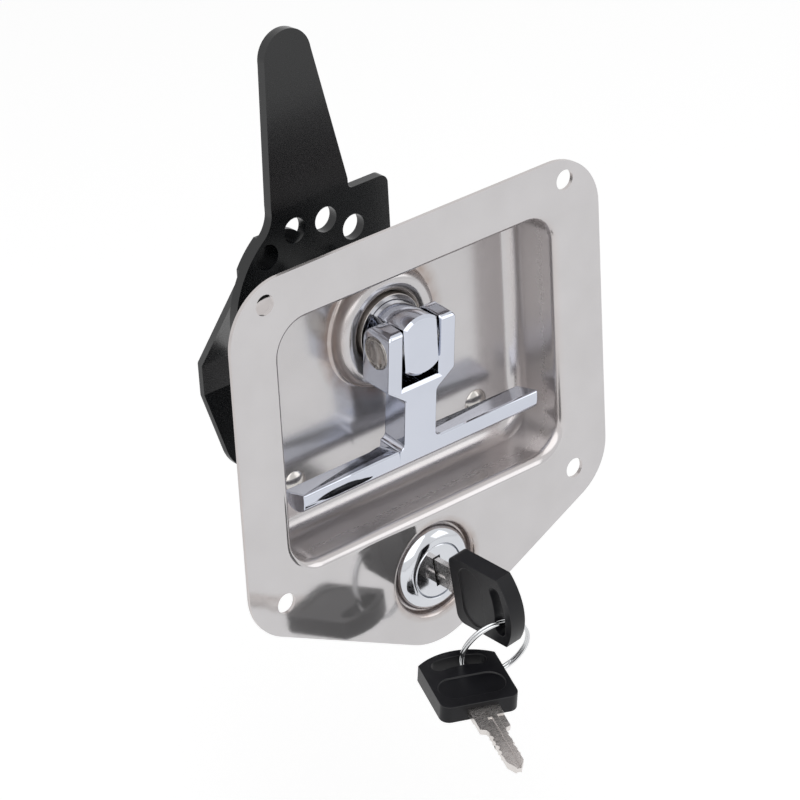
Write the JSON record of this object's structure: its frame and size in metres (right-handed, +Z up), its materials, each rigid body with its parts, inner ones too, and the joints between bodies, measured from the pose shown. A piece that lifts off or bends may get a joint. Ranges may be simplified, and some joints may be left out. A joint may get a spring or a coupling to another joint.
{
  "type": "trailer door latch",
  "caption": "Flush folding T-handle latch for a trailer door: pressed steel dish, slotted latch arm on the shaft behind, key lock below and keys on a ring.",
  "frame": {"origin": "centre of the four mounting holes on the front face of the plate", "axes": "+X to the right seen from the front, +Y into the door, +Z up, with the handle folded and the latch arm standing up"},
  "size_m": [0.138, 0.1425, 0.1872],
  "materials": {
    "stainless": "bright, lightly brushed pressed stainless steel",
    "chrome": "polished chrome plate",
    "pin_steel": "plain bright steel",
    "black_paint": "satin black coating",
    "zinc": "bright zinc plate",
    "key_metal": "nickel plate",
    "key_plastic": "fine-grained black moulding",
    "ring_steel": "bright drawn wire"
  },
  "bodies": {
    "frame": {"dish_plate": "stainless", "bearing_housing": "zinc", "shaft_bush": "pin_steel", "dish_rivets": "pin_steel", "lock_housing": "chrome", "lock_nut": "zinc"},
    "spindle": {"spindle": "chrome", "cam_arm": "black_paint", "inside_lever": "black_paint", "thrust_washer": "zinc", "spring_washer": "zinc", "spindle_nut": "zinc"},
    "handle": {"t_handle": "chrome", "pivot_pin": "pin_steel"},
    "lock_plug": {"lock_plug": "chrome", "lock_wafers": "key_metal", "lock_tongue": "zinc", "tongue_screw": "zinc"},
    "key": {"key_blade": "key_metal", "key_head": "key_plastic"},
    "key_ring": {"key_ring": "ring_steel"},
    "spare_key": {"spare_key_blade": "key_metal", "spare_key_head": "key_plastic"}
  },
  "joints": [
    {"name": "spindle_turn", "type": "hinge", "parent": "frame", "child": "spindle", "pos_m": [0, 0.03, 0.0143], "axis": [0, 1, 0], "range_deg": [0, 66.5]},
    {"name": "handle_fold", "type": "hinge", "parent": "spindle", "child": "handle", "pos_m": [0, 0.0068, 0.0143], "axis": [-1, 0, 0], "range_deg": [0, 95]},
    {"name": "lock_turn", "type": "hinge", "parent": "frame", "child": "lock_plug", "pos_m": [0, 0.01, -0.06], "axis": [0, 1, 0], "range_deg": [0, 90]},
    {"name": "key_slide", "type": "slide", "parent": "lock_plug", "child": "key", "axis": [0, -1, 0], "range_m": [0, 0.021]},
    {"name": "ring_swing", "type": "hinge", "parent": "key", "child": "key_ring", "pos_m": [0.00066, -0.03038, -0.06534], "axis": [-0.9563, 0.166, 0.2408], "range_deg": [-12, 60]},
    {"name": "spare_key_swing", "type": "hinge", "parent": "key_ring", "child": "spare_key", "pos_m": [-0.01016, -0.02268, -0.07985], "axis": [0.5016, 0.1576, -0.8506], "range_deg": [-30, 60]}
  ],
  "couplings": [
    {"joint": "spindle_turn", "follows": "handle_fold", "ratio": 0.7}
  ]
}
